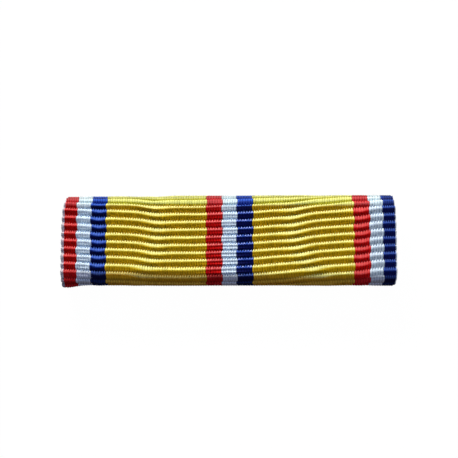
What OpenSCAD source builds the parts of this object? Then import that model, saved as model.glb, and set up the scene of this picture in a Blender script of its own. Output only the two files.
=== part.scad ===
// Ribbon bar: a corded ribbon wrapped over a sheet metal channel, lying on its back.
// X runs along the bar, Y up its face, Z out of its face. The bar's back rests on Z = 0.

/* [Ribbon] */
// Width of the ribbon, across the middle of the face
ribbon_w = 34.9; // [28:0.1:42]
// Distance that each side draws in from the middle of the face to the top edge, and widens to the bottom
face_draw = 0.1; // [0:0.05:0.4]
// Distance that each side draws in from the face to the back
back_draw = 0.5; // [0:0.05:0.8]
// Thickness of the cloth in the furrows between its ribs
cloth_t = 0.4; // [0.3:0.05:0.6]
// Height that a rib stands above the furrows
rib_h = 0.25; // [0.1:0.05:0.35]
// Spacing of the ribs, measured over their crests
rib_spacing = 0.8; // [0.6:0.05:1.2]
// Distance that the ribs climb from their lowest place to their highest, across the face
rib_climb = 1.65; // [0:0.05:2.4]
// Length that the ribbon stops short of the channel's lip
end_setback = 0.25; // [0.1:0.05:0.6]

/* [Bar] */
// Height of the finished bar, over the ribs at both edges
bar_h = 9.5; // [8.5:0.1:13]

/* [Channel plate] */
// Thickness of the sheet metal
sheet_t = 0.5; // [0.3:0.05:0.6]
// Clear depth of the slot that takes a mounting rail
slot_depth = 1.0; // [0.7:0.05:1.3]
// Flat length of each lip at the back, past its bend
lip_l = 1.6; // [1:0.1:1.8]
// Length that the plate stops short of the ribbon's width at each end of the bar
plate_setback = 0.4; // [0.1:0.05:1]
// Gap between the plate and the ribbon
wrap_gap = 0.05; // [0.03:0.01:0.1]

/* [Hidden] */
$fn = 96;

// The warp stripes from left to right: [name, share of the ribbon's width]
STRIPES = [
    ["selvedge_left", 0.0095],
    ["red_left", 0.034],
    ["white_left", 0.046],
    ["blue_left", 0.043],
    ["yellow_left", 0.2975],
    ["red_middle", 0.046],
    ["white_middle", 0.0455],
    ["blue_middle", 0.0455],
    ["yellow_right", 0.302],
    ["red_right", 0.0475],
    ["white_right", 0.0415],
    ["blue_right", 0.036],
    ["selvedge_right", 0.006]
];

// Section of one rib: [share of the pitch, share of the rib's height]
RIB_SECTION = [
    [0, 0],
    [0.14, 0.66],
    [0.36, 1],
    [0.64, 1],
    [0.86, 0.66],
    [1, 0]
];

// How the ribs lean across the face: [share of the half width, share of rib_climb]
RIB_LEAN = [
    [-1, -0.1],
    [-0.7, -0.23],
    [-0.53, -0.3],
    [-0.42, -0.41],
    [0, -0.4],
    [0.14, -0.3],
    [0.38, -0.1],
    [0.47, 0.06],
    [0.76, 0.35],
    [1, 0.6]
];

// Place of a furrow beside the middle of the face before the ribs lean, as a share of the pitch
FURROW_PLACE = 0.475;
// Angle between two stations of the ribbon's smooth inner side, round a bend
BEND_STEP = 15;
// Widest run of a stripe between two lengthwise rows of points, as a share of the half width
ROW_RUN = 0.21;
// Least distance between a rib's station and the ribbon's cut end, as a share of the pitch
END_CLEAR = 0.08;

ribbon_t = cloth_t + rib_h;
plate_in_r = slot_depth / 2;
plate_out_r = plate_in_r + sheet_t;
ribbon_in_r = plate_out_r + wrap_gap;
crest_r = ribbon_in_r + ribbon_t;
axis_z = crest_r;
bar_t = 2 * crest_r;
web = bar_h - bar_t;
slot_opening = web - 2 * lip_l;
plate_l = ribbon_w - 2 * plate_setback;

// Places along the ribbon, measured over the crests from the middle of the face
bend_start = web / 2;
edge_place = bend_start + PI * crest_r / 2;
bend_end = bend_start + PI * crest_r;
ribbon_end = bend_end + lip_l - end_setback;

// Share of the half width, from -1 to 1, where stripe k starts
function border(k) = 2 * sum_shares(k) / sum_shares(len(STRIPES)) - 1;
function sum_shares(k) = k == 0 ? 0 : STRIPES[k - 1][1] + sum_shares(k - 1);

// Half of the ribbon's width at height y on the bar and height z above its back
function half_width(y, z) =
    ribbon_w / 2 - face_draw * y / (bar_h / 2) - back_draw * (1 - z / bar_t);

// Height of the ribs above the furrows at place s
function rib_height(s) =
    let (ribs = s / rib_spacing - FURROW_PLACE)
    rib_h * lookup(ribs - floor(ribs), RIB_SECTION);

// Distance that the ribs have climbed at share v of the half width. The cloth is square at its cut
// ends, so past the bar's edges the climb fades away.
function rib_shift(v, s) =
    rib_climb * lookup(v, RIB_LEAN) * min(1, (ribbon_end - abs(s)) / (ribbon_end - edge_place));

// Place s of the wound ribbon, at height h above its inner side, as [y, z]
function wound(s, h) =
    let (side = sign(s), run = abs(s), r = ribbon_in_r + h)
    run <= bend_start ? [s, axis_z + r] :
    run >= bend_end ? [side * (bend_start - (run - bend_end)), axis_z - r] :
    let (turn = (run - bend_start) / crest_r * 180 / PI)
    [side * (bend_start + r * sin(turn)), axis_z + r * cos(turn)];

// Point of the ribbon at share v of the half width, place s and height h
function ribbon_point(v, s, h) =
    let (yz = wound(s, h))
    [v * half_width(yz.x, yz.y), yz.x, yz.y];

// Places of the outer side's stations, before the ribs lean
last_rib = ceil(ribbon_end / rib_spacing);
outer_places = concat(
    [-ribbon_end],
    [
        for (rib = [-last_rib:last_rib], row = [0:len(RIB_SECTION) - 2])
        let (s = (rib + FURROW_PLACE + RIB_SECTION[row][0]) * rib_spacing)
        if (abs(s) < ribbon_end - END_CLEAR * rib_spacing) s
    ],
    [ribbon_end]
);

// Places of the smooth inner side's stations, from the top's lip to the bottom's
bend_places = [for (turn = [0:BEND_STEP:180]) bend_start + turn / 180 * PI * crest_r];
inner_places = concat(
    [-ribbon_end],
    [for (i = [len(bend_places) - 1:-1:0]) -bend_places[i]],
    bend_places,
    [ribbon_end]
);

// Point of the ribbon's outer side at share v and station s
function outer_point(v, s) =
    ribbon_point(v, s + rib_shift(v, s), cloth_t + rib_height(s));

// Number of the inner station that lies nearest to place s
function nearest_inner(s) =
    len([for (i = [1:len(inner_places) - 1]) if (2 * s > inner_places[i - 1] + inner_places[i]) i]);

// Triangles of a stripe's flat side at share v, between its outer and its inner stations
function side_faces(v, outer_start, inner_start) =
    let (near = [for (s = outer_places) nearest_inner(s + rib_shift(v, s))])
    [
        for (i = [0:len(near) - 2])
        let (a = outer_start + i, b = a + 1)
        each concat(
            [[a, b, inner_start + near[i]]],
            [for (j = [near[i]:1:near[i + 1] - 1]) [b, inner_start + j + 1, inner_start + j]]
        )
    ];

// The same triangles seen from the other side
function flipped(faces) = [for (face = faces) [face[0], face[2], face[1]]];

// One stripe of the wound ribbon, closed by a flat face on each side
module warp_stripe(name) {
    k = search([name], STRIPES)[0];
    from = border(k);
    to = border(k + 1);
    rows = max(1, ceil((to - from) / ROW_RUN));
    outs = len(outer_places);
    ins = len(inner_places);
    inner_start = (rows + 1) * outs;
    shares = [for (row = [0:rows]) from + (to - from) * row / rows];
    points = concat(
        [for (v = shares, s = outer_places) outer_point(v, s)],
        [for (v = shares, s = inner_places) ribbon_point(v, s, 0)]
    );
    outer_faces = [
        for (row = [0:rows - 1], i = [0:outs - 2])
        let (a = row * outs + i, b = a + outs)
        each [[a, a + 1, b + 1], [a, b + 1, b]]
    ];
    inner_faces = [
        for (row = [0:rows - 1], i = [0:ins - 2])
        let (a = inner_start + row * ins + i, b = a + ins)
        each [[a, b + 1, a + 1], [a, b, b + 1]]
    ];
    cut_ends = [
        for (row = [0:rows - 1])
        let (a = row * outs, b = a + outs, c = inner_start + row * ins, d = c + ins)
        each [[a, b, d, c], [a + outs - 1, c + ins - 1, d + ins - 1, b + outs - 1]]
    ];
    left_side = flipped(side_faces(from, 0, inner_start));
    right_side = side_faces(to, rows * outs, inner_start + rows * ins);
    polyhedron(points, concat(outer_faces, inner_faces, cut_ends, left_side, right_side), convexity = 10);
}

// Section of a selvedge: [share of its width from the stripe outwards, share of the cloth's thickness].
// The last row is the loops' outer bulge, which draws in between two ribs.
SELVEDGE_SECTION = [
    [0, 0],
    [0, 1],
    [0.55, 0.92],
    [1, 0.5],
    [0.55, 0.08]
];
// Share of the selvedge's width that the loops' outer bulge draws in between two ribs
LOOP_DRAW = 0.45;

// Turned edge of the ribbon, where the weft loops round the last warp
module selvedge(name) {
    k = search([name], STRIPES)[0];
    left = k == 0;
    inner = border(left ? 1 : k);
    outer = border(left ? 0 : k + 1);
    sides = len(SELVEDGE_SECTION);
    stations = len(outer_places);
    points = [
        for (s = outer_places, corner = SELVEDGE_SECTION)
        let (
            full = cloth_t + rib_height(s),
            draw = corner[0] * LOOP_DRAW * (1 - rib_height(s) / rib_h),
            v = inner + (outer - inner) * (corner[0] - draw)
        )
        ribbon_point(v, s + rib_shift(inner, s), full * corner[1])
    ];
    walls = [
        for (i = [0:stations - 2], corner = [0:sides - 1])
        let (
            next = (corner + 1) % sides,
            a = i * sides + corner,
            b = i * sides + next,
            c = a + sides,
            d = b + sides
        )
        each left ? [[a, d, c], [a, b, d]] : [[a, c, d], [a, d, b]]
    ];
    first = [for (corner = [0:sides - 1]) corner];
    last = [for (corner = [sides - 1:-1:0]) (stations - 1) * sides + corner];
    turn = function(face) left ? [for (i = [len(face) - 1:-1:0]) face[i]] : face;
    polyhedron(points, concat(walls, [turn(first), turn(last)]), convexity = 10);
}

// Flat bar with round edges, as wide as its span and two radii
module round_edged(span, r) {
    square([span, 2 * r], center = true);
    for (side = [-1, 1])
        translate([side * span / 2, 0])
            circle(r);
}

// Section of the folded channel: a web, two bends and two lips with the slot's opening between them
module channel_section() {
    difference() {
        round_edged(web, plate_out_r);
        round_edged(web, plate_in_r);
        translate([0, -plate_out_r])
            square([slot_opening, 2 * sheet_t + plate_in_r], center = true);
    }
}

module channel_plate() {
    color("#b8934a")
        translate([0, 0, axis_z])
            rotate([90, 0, 90])
                linear_extrude(plate_l, center = true)
                    channel_section();
}

module selvedge_left() {
    color("#bdb6cc")
        selvedge("selvedge_left");
}

module red_left() {
    color("#b3202b")
        warp_stripe("red_left");
}

module white_left() {
    color("#dfe6ee")
        warp_stripe("white_left");
}

module blue_left() {
    color("#1f2f78")
        warp_stripe("blue_left");
}

module yellow_left() {
    color("#d2bf45")
        warp_stripe("yellow_left");
}

module red_middle() {
    color("#b3202b")
        warp_stripe("red_middle");
}

module white_middle() {
    color("#dfe6ee")
        warp_stripe("white_middle");
}

module blue_middle() {
    color("#1f2f78")
        warp_stripe("blue_middle");
}

module yellow_right() {
    color("#d2bf45")
        warp_stripe("yellow_right");
}

module red_right() {
    color("#b3202b")
        warp_stripe("red_right");
}

module white_right() {
    color("#dfe6ee")
        warp_stripe("white_right");
}

module blue_right() {
    color("#1f2f78")
        warp_stripe("blue_right");
}

module selvedge_right() {
    color("#bdb6cc")
        selvedge("selvedge_right");
}

channel_plate();
selvedge_left();
red_left();
white_left();
blue_left();
yellow_left();
red_middle();
white_middle();
blue_middle();
yellow_right();
red_right();
white_right();
blue_right();
selvedge_right();
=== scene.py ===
"""Ribbon bar: a corded, striped ribbon wound round a folded brass channel, lying on its back.

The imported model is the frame. Each stripe of the ribbon is woven here, float by float, in place of its
plain solid, and so are the weft loops at the two selvedges. The channel keeps its own solid under a
brushed brass finish. A soft studio shows the bar from straight above. Lengths are in millimetres up to
the point where a mesh is made, and +Y is the top of the bar's face.
"""

import logging
import math
from dataclasses import dataclass, field
from enum import Enum
from functools import cached_property
from typing import Any, Mapping, Optional, Sequence, Tuple, Union

import bpy
import numpy as np
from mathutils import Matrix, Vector


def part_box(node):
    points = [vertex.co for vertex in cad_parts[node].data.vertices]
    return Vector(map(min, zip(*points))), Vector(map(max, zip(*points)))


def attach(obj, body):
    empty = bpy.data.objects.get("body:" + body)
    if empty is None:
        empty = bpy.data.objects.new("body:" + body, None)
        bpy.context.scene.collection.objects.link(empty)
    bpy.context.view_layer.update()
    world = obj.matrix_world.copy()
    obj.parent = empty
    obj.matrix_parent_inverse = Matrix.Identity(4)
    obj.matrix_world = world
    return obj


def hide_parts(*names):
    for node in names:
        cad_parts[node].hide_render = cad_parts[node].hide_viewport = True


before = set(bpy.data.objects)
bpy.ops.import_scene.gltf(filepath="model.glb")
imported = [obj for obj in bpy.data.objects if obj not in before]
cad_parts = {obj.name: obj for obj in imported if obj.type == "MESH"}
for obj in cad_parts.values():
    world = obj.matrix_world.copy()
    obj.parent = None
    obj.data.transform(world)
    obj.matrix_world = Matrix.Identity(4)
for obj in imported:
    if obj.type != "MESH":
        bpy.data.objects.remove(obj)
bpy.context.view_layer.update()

LOG = logging.getLogger("ribbon_bar")
MM = 0.001
BODY = "root"
WEAVE_MAP = "Weave"
# What the weave's map stops short of the next rib, so that each place on it stays on its own rib
MAP_SEAM = 1e-4

Array = np.ndarray
Colour = Tuple[float, float, float]
Operand = Union["Signal", float]
Sockets = Mapping[Union[str, int], Any]
Span = Tuple[float, float]
Stops = Sequence[Tuple[float, Colour]]
Table = Sequence[Tuple[float, float]]
Rows = Sequence[Tuple[float, float, float]]


def smooth_step(value: Array, low: float, high: float) -> Array:
    """Share from 0 at low to 1 at high that starts and ends softly.

    Args:
        value: Numbers to place between the two limits.
        low: Where the share is 0.
        high: Where the share is 1. It may lie below low.

    Returns:
        The share for each number.
    """
    share = np.clip((value - low) / (high - low), 0.0, 1.0)
    return share * share * (3.0 - 2.0 * share)


def look_up(value: Array, table: Table) -> Array:
    """Reads a table of [place, amount] rows, with straight runs between them."""
    places, amounts = zip(*table)
    return np.interp(value, places, amounts)


def hill(value: Array, centre: float, width: float) -> Array:
    """Round hill of height 1 at centre that fades over about width on each side."""
    return np.exp(-(((value - centre) / width) ** 2))


def hills(value: Array, rows: Rows) -> Array:
    """Sum of round hills, from rows of [centre, width, height]."""
    return sum(height * hill(value, centre, width) for centre, width, height in rows)


class Signal:
    """A value socket of a shader node that takes part in Python arithmetic."""

    def __init__(self, bench: "ShaderBench", socket: bpy.types.NodeSocket) -> None:
        """Wraps a socket of a node that stands on the bench."""
        self.bench = bench
        self.socket = socket

    def __add__(self, other: Operand) -> "Signal":
        """This value plus another."""
        return self.bench.maths("ADD", self, other)

    def __radd__(self, other: Operand) -> "Signal":
        """Another value plus this one."""
        return self.bench.maths("ADD", other, self)

    def __sub__(self, other: Operand) -> "Signal":
        """This value less another."""
        return self.bench.maths("SUBTRACT", self, other)

    def __rsub__(self, other: Operand) -> "Signal":
        """Another value less this one."""
        return self.bench.maths("SUBTRACT", other, self)

    def __mul__(self, other: Operand) -> "Signal":
        """This value times another."""
        return self.bench.maths("MULTIPLY", self, other)

    def __rmul__(self, other: Operand) -> "Signal":
        """Another value times this one."""
        return self.bench.maths("MULTIPLY", other, self)


class ShaderBench:
    """The node tree of one material, and the one place where its nodes are made."""

    MIX_FACTOR, MIX_FIRST, MIX_SECOND, MIX_RESULT = 0, 6, 7, 2

    def __init__(self, name: str) -> None:
        """Starts an empty material.

        Args:
            name: Name of the material.
        """
        self.material = bpy.data.materials.new(name)
        self.material.use_nodes = True
        self.tree = self.material.node_tree
        self.tree.nodes.clear()

    def node(self, kind: str, sockets: Optional[Sockets] = None, **settings: Any) -> bpy.types.Node:
        """Adds a node, with its settings first and then its sockets.

        Args:
            kind: Type of the node.
            sockets: Numbers, colours or signals for its inputs, by name or number.
            **settings: Its properties.

        Returns:
            The new node.
        """
        made = self.tree.nodes.new(kind)
        for name, value in settings.items():
            setattr(made, name, value)
        for name, value in (sockets or {}).items():
            self._fill(made.inputs[name], value)
        return made

    def _fill(self, socket: bpy.types.NodeSocket, value: Any) -> None:
        """Links a signal to a socket, or sets its number or colour.

        Args:
            socket: Input of a node.
            value: What goes there.
        """
        if isinstance(value, Signal):
            self.tree.links.new(value.socket, socket)
        else:
            socket.default_value = (*value, 1.0) if socket.type == "RGBA" else value

    def signal(
        self, kind: str, sockets: Optional[Sockets] = None, output: Union[str, int] = 0, **settings: Any
    ) -> Signal:
        """Adds a node and gives one of its outputs, with the arguments of node()."""
        return Signal(self, self.node(kind, sockets, **settings).outputs[output])

    def maths(self, operation: str, *operands: Operand) -> Signal:
        """Result of a Math node."""
        return self.signal("ShaderNodeMath", dict(enumerate(operands)), operation=operation)

    def mix(self, factor: Operand, first: Any, second: Any, blend: str = "MIX") -> Signal:
        """Colour between two others.

        Args:
            factor: Share of the second colour.
            first: Colour or signal at factor 0.
            second: Colour or signal at factor 1.
            blend: How the second is laid over the first.

        Returns:
            The mixed colour.
        """
        sockets = {self.MIX_FACTOR: factor, self.MIX_FIRST: first, self.MIX_SECOND: second}
        return self.signal("ShaderNodeMix", sockets, self.MIX_RESULT, data_type="RGBA", blend_type=blend)

    def toned(self, colour: Signal, tone: Signal) -> Signal:
        """Colour times a tone."""
        return self.mix(1.0, colour, self.point(tone, tone, tone), "MULTIPLY")

    def point(self, x: Operand, y: Operand, z: Operand = 0.0) -> Signal:
        """Vector of three values."""
        return self.signal("ShaderNodeCombineXYZ", {"X": x, "Y": y, "Z": z})

    def split(self, vector: Signal) -> Tuple[Signal, ...]:
        """The three values of a vector."""
        parts = self.node("ShaderNodeSeparateXYZ", {"Vector": vector})
        return tuple(Signal(self, output) for output in parts.outputs)

    def weave(self) -> Tuple[Signal, ...]:
        """Places across the floats and along the ribs, from the map that the weaving laid on the piece."""
        return self.split(self.signal("ShaderNodeUVMap", None, "UV", uv_map=WEAVE_MAP))[:2]

    def place(self) -> Signal:
        """Place in the piece's own coordinates, in metres."""
        return self.signal("ShaderNodeTexCoord", None, "Object")

    def noise(self, place: Signal, scale: float, detail: float = 2.0, roughness: float = 0.5) -> Signal:
        """Soft noise around 0.5.

        Args:
            place: Vector that the noise is laid out on.
            scale: How many of its lumps fit on one unit.
            detail: Number of finer layers.
            roughness: Strength of the finer layers.

        Returns:
            The noise as a value.
        """
        sockets = {"Vector": place, "Scale": scale, "Detail": detail, "Roughness": roughness}
        return self.signal("ShaderNodeTexNoise", sockets)

    def ramp(self, place: Signal, stops: Stops) -> Signal:
        """Colour of a soft ramp.

        Args:
            place: Place on the ramp, from 0 to 1.
            stops: Pairs of place and colour, in rising order.

        Returns:
            The colour at that place.
        """
        made = self.node("ShaderNodeValToRGB", {"Fac": place})
        made.color_ramp.interpolation = "EASE"
        elements = made.color_ramp.elements
        while len(elements) < len(stops):
            elements.new(stops[0][0])
        for element, (at, colour) in zip(elements, stops):
            element.position, element.color = at, (*colour, 1.0)
        return Signal(self, made.outputs["Color"])

    def ranged(self, value: Signal, low: float, high: float) -> Signal:
        """Share from 0 where the value is low to 1 where it is high."""
        return self.signal("ShaderNodeMapRange", {"Value": value, "From Min": low, "From Max": high})

    def over(self, length: Signal, span: Span) -> Signal:
        """Share from 0 at the start of a span in millimetres to 1 at its end."""
        return self.ranged(length, *(place * MM for place in span))

    def band(self, value: Signal, start: float, full: float, ending: float, end: float) -> Signal:
        """Share that grows to 1 from start to full, and falls to 0 from ending to end."""
        return self.ranged(value, start, full) * (1.0 - self.ranged(value, ending, end))

    def bump(self, height: Signal, strength: float, depth_mm: float) -> Signal:
        """Normal of a surface that height raises by up to depth_mm."""
        sockets = {"Height": height, "Strength": strength, "Distance": depth_mm * MM}
        return self.signal("ShaderNodeBump", sockets)

    def surface(self, sockets: Sockets) -> bpy.types.Material:
        """Closes the material with a Principled shader.

        Args:
            sockets: Numbers, colours or signals for the shader's inputs.

        Returns:
            The material.
        """
        shader = self.signal("ShaderNodeBsdfPrincipled", sockets, "BSDF")
        self.node("ShaderNodeOutputMaterial", {"Surface": shader})
        return self.material


@dataclass(frozen=True)
class SilkFinish:
    """Dyed silk warp, with painted shade down a rib's lower flank and in its furrows, and a painted highlight
    on its crest.
    """

    # The furrow, shade and top furrow colours are painted shade, the crest colour is a painted highlight, the
    # colour over the top edge is paler painted light and the foot colour is painted shade; the edge,
    # right-end and flank tones take painted shade, and glint sets painted glints.
    slot: str
    furrow: Colour
    shade: Colour
    crest: Colour
    top_lit: Colour
    top_furrow_shade: Colour
    foot_shade: Colour
    crest_at: Span = (0.8, 0.96)
    float_edge_shade: float = 0.3
    right_crest_dim: float = 0.1
    flank_tone: float = 0.0
    glint: float = 0.0
    roughness: float = 0.62
    gloss: float = 0.2

    # Places up a rib, for its painted shade and highlight, of its furrow, of its lower flank's start and end
    # and of its turning colour, and what is left of that colour as painted shade at its upper lip
    SHADING_UP = (0.0, 0.05, 0.56, 0.67)
    LIP_SHADE = 0.62
    # Places up a rib under the painted top light, of its furrow, of its lower flank's start and end, of its
    # crest's end and its lip; its furrow colour there is painted shade
    TOP_LIT_UP = (0.0, 0.26, 0.46, 0.96, 1.0)
    # Heights between which the colour turns to paler painted light towards the bar's top edge, which faces
    # the lamps, and to painted shade towards its bottom edge
    TOP_LIT_Y = (3.55, 3.8)
    FOOT_SHADE_Y = (-3.2, -3.7)
    # Slope by which the painted foot shade falls to the right
    FOOT_SHADE_TILT = 0.02
    # Heights between which painted shade darkens the lower flanks below the painted top light, where on a
    # flank that fades out, and how much
    DARK_Y = (2.9, 3.4)
    DARK_UP = (0.45, 0.65)
    DARK_TONE = 0.36
    # Heights and places up a rib between which the crest's painted highlight spreads down, below the painted
    # top light
    LIT_Y = (3.2, 3.5)
    LIT_UP = (0.6, 0.72)
    # Heights up the bar and over its back between which the top edge is greyed, the slope by which those up
    # the bar rise to the right, and the grey and its strength
    TOP_EDGE_GREY_Y = (4.36, 4.5)
    TOP_EDGE_GREY_Z = (0.9, 2.3)
    TOP_EDGE_GREY_TILT = 0.0086
    TOP_EDGE_GREY = (0.035, 0.035, 0.035)
    TOP_EDGE_GREY_SHARE = 0.42
    # Places across between which the painted crest highlights dim towards the right end, where less light
    # falls, the places up a rib where that starts and is full, and how far their colour goes back to the
    # shade. They also lose a share of their tone, and the flanks below them another share of painted shade,
    # which lightens them where it is negative
    RIGHT_DIM_X = (12.5, 14.5)
    RIGHT_DIM_UP = (0.5, 0.75)
    RIGHT_DIM_SHARE = 0.35
    # Places across between which the painted top light, and the crest highlight spread down below it, end
    # near the right end, and how much of them is missing
    TOP_LIT_CUT_X = (15.4, 16.2)
    TOP_LIT_CUT_SHARE = 0.65
    # Places up a rib where the glints on its floats start, are full, begin to end and end
    GLINT_UP = (0.74, 0.8, 0.84, 0.89)
    # Distances from the middle of the bar over which the glints fade
    GLINT_X = (2.6, 4.0)
    # Lots of a float between which its glint grows from nothing to its full
    GLINT_LOTS = (0.2, 0.8)
    # Places up a rib, with the shares of the crest's painted highlight colour and of the painted foot shade
    # colour that add up there
    FOOT_SHADES = (
        (0.0, 0.0, 0.72), (0.2, 0.0, 0.95), (0.4, 0.0, 1.1), (0.66, 0.0, 0.95), (0.8, 0.31, 0.23),
        (0.92, 0.31, 0.23), (1.0, 0.0, 0.72),
    )
    # Heights between which they turn to the shares of the lowest ribs
    LOW_Y = (-3.8, -4.0)
    LOW_SHADES = (
        (0.0, 0.0, 0.45), (0.2, 0.0, 0.75), (0.6, 0.0, 0.8), (0.74, 0.16, 0.85), (0.93, 0.16, 0.85),
        (1.0, 0.0, 0.45),
    )
    # Share of a float's width that the painted shade at its edges takes
    EDGE_W = 0.5
    # Spread of the tone from one float to the next, over the cloth and from fibre to fibre
    FLOAT_TONE = 0.16
    CLOTH_TONE = 0.16
    FIBRE_TONE = 0.36
    # Lumps of the fibres, of the cloth's unevenness and of the strands, to a float's width and to a rib
    FIBRES = (11.0, 1.1)
    CLOTH = (0.09, 0.23)
    STRANDS = (7.0, 0.6)
    # Spread of the roughness from fibre to fibre, and strength and depth of the strands' relief
    ROUGHNESS_SPREAD = 0.3
    RELIEF = (0.5, 0.02)

    def material(self) -> bpy.types.Material:
        """Makes the finish from the map that the weaving laid on the piece.

        Returns:
            The material, with colour that carries painted shade and highlights, gloss and fibre relief from
            nodes.
        """
        bench = ShaderBench(self.slot)
        across, along = bench.weave()
        up = bench.maths("FRACT", along)
        side, height, rise = bench.split(bench.place())
        kept = 1.0 - bench.over(side, self.TOP_LIT_CUT_X) * self.TOP_LIT_CUT_SHARE
        top_lit, lit = (bench.over(height, span) * kept for span in (self.TOP_LIT_Y, self.LIT_Y))
        foot_shade = bench.over(height + side * self.FOOT_SHADE_TILT, self.FOOT_SHADE_Y)
        top_edge_greyed = bench.over(height - side * self.TOP_EDGE_GREY_TILT, self.TOP_EDGE_GREY_Y) * bench.over(rise, self.TOP_EDGE_GREY_Z)
        # Towards the right end, where less light falls, the painted crest highlights are dimmer and the
        # painted shade on the flanks is changed
        far = bench.over(side, self.RIGHT_DIM_X)
        dull = far * bench.ranged(up, *self.RIGHT_DIM_UP)
        # Painted shade and highlight up each rib; the highlight is dimmed towards the right end and spread
        # further down below the top edge
        shaded_dye = bench.mix(dull * self.RIGHT_DIM_SHARE, self._shading_ramp(up), self.shade)
        shaded_dye = bench.mix(lit * bench.ranged(up, *self.LIT_UP), shaded_dye, self.crest)
        # Paler painted light over the top edge, which faces the lamps
        dye = bench.mix(top_lit, shaded_dye, self._top_lit_ramp(up))
        # Painted shade at the foot of the face, which turns away from the lamps
        dye = bench.mix(foot_shade, dye, self._foot_shading(up, height))
        dye = bench.mix(top_edge_greyed * self.TOP_EDGE_GREY_SHARE, dye, self.TOP_EDGE_GREY)
        edge = bench.maths("ABSOLUTE", bench.maths("FRACT", across) - 0.5) * 2.0
        edge = bench.ranged(edge, 1.0 - self.EDGE_W, 1.0)
        float_number = bench.point(bench.maths("FLOOR", across), bench.maths("FLOOR", along))
        lot = bench.signal("ShaderNodeTexWhiteNoise", {"Vector": float_number}, noise_dimensions="2D")
        fibres = self._grain(across, along, self.FIBRES, detail=3.0, roughness=0.6)
        cloth = self._grain(across, along, self.CLOTH)
        tone = 1.0
        for noise, spread in ((lot, self.FLOAT_TONE), (cloth, self.CLOTH_TONE), (fibres, self.FIBRE_TONE)):
            tone = tone + (noise - 0.5) * spread
        # Painted shade at the edges of the floats, between them
        tone = tone - edge * self.float_edge_shade
        # Painted shade on the lower flanks below the top edge, and towards the right end on the crests and
        # flanks
        dark = bench.over(height, self.DARK_Y) * (1.0 - top_lit) * (1.0 - bench.ranged(up, *self.DARK_UP))
        right_flanks = (far - dull) * (1.0 - top_lit)
        for share, loss in ((dark, self.DARK_TONE), (dull, self.right_crest_dim), (right_flanks, self.flank_tone)):
            tone = tone * (1.0 - share * loss)
        colour = bench.toned(dye, tone)
        # Painted glints: white added to the base colour at the floats' crests near the middle of the bar
        if self.glint:
            glint = self._glints(side, up) * (1.0 - edge)
            glint = glint * bench.ranged(lot, *self.GLINT_LOTS) * (1.0 - foot_shade)
            colour = bench.mix(glint, colour, (self.glint,) * 3, "ADD")
        strands = self._grain(across, along, self.STRANDS, roughness=0.7)
        return bench.surface(
            {
                "Base Color": colour,
                "Roughness": self.roughness + (fibres - 0.5) * self.ROUGHNESS_SPREAD,
                "Specular IOR Level": self.gloss,
                "Normal": bench.bump(strands, *self.RELIEF),
            }
        )

    def _grain(self, across: Signal, along: Signal, lumps: Span, **finer: float) -> Signal:
        """Noise with so many lumps to a float's width and to a rib, and the finer layers of noise()."""
        return across.bench.noise(across.bench.point(across * lumps[0], along * lumps[1]), 1.0, **finer)

    def _shading_ramp(self, up: Signal) -> Signal:
        """Colour up a rib, with painted shade in its furrow and down its lower flank and a painted highlight
        on its crest.

        Args:
            up: Place up the rib.

        Returns:
            The colour at that place.
        """
        colours = (self.furrow, self.shade, self.shade, self._turn(), self.crest, self.crest)
        places = (*self.SHADING_UP, *self.crest_at, 1.0)
        return up.bench.ramp(up, tuple(zip(places, (*colours, self._turn(self.LIP_SHADE)))))

    def _turn(self, share: float = 1.0) -> Colour:
        """Painted colour between the lower flank's shade and the crest's highlight, darkened to a share."""
        return tuple(math.sqrt(low * high) * share for low, high in zip(self.shade, self.crest))

    def _top_lit_ramp(self, up: Signal) -> Signal:
        """Colour at a place up a rib over the top edge: paler painted light, with painted shade in its
        furrow.
        """
        edge, body = self.top_furrow_shade, self.top_lit
        return up.bench.ramp(up, tuple(zip(self.TOP_LIT_UP, (edge, edge, body, body, edge))))

    def _foot_shading(self, up: Signal, height: Signal) -> Signal:
        """Colour at a place up a rib and up the bar: painted shade at the foot of the face, with dim painted
        highlights on the crests.
        """
        foot, low = (up.bench.ramp(up, self._blends(rows)) for rows in (self.FOOT_SHADES, self.LOW_SHADES))
        return up.bench.mix(up.bench.over(height, self.LOW_Y), foot, low)

    def _blends(self, rows: Rows) -> Stops:
        """Stops whose colours add up shares of the crest's painted highlight colour and of the painted foot
        shade colour.
        """
        pairs = tuple(zip(self.crest, self.foot_shade))
        return tuple((at, tuple(pale * own + part * dim for pale, part in pairs)) for at, own, dim in rows)

    def _glints(self, side: Signal, up: Signal) -> Signal:
        """Strength of the glints at a place across the bar and up a rib."""
        near = 1.0 - up.bench.over(up.bench.maths("ABSOLUTE", side), self.GLINT_X)
        return near * up.bench.band(up, *self.GLINT_UP)


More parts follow.
